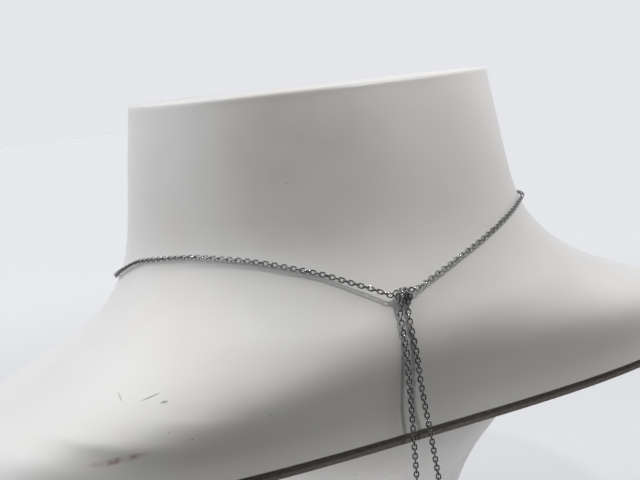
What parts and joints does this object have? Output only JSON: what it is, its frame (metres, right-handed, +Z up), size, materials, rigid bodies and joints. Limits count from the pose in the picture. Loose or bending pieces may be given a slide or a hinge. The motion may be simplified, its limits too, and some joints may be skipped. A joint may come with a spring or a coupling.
{
  "type": "necklace on neck bust",
  "caption": "Fine steel cable chain lariat, tied in a small knot at the throat with two free ends, on a glossy neck bust with a board and a trumpet foot.",
  "frame": {"origin": "middle of the pedestal foot's flat underside", "axes": "+Z up, the bust faces -Y, +X to the viewer's right when the bust is seen from the front"},
  "size_m": [0.2048, 0.1184, 0.175],
  "materials": {
    "chain_steel": "polished silver-coloured steel",
    "bust_gloss": "glossy white, a little scuffed",
    "board": "raw brown-grey board edge",
    "pedestal_gloss": "satin light grey"
  },
  "bodies": {
    "root": {"neck_chain": "chain_steel", "tie_knot": "chain_steel", "tail_left": "chain_steel", "tail_right": "chain_steel", "neck_bust": "bust_gloss", "bust_board": "board", "pedestal": "pedestal_gloss"}
  },
  "joints": []
}
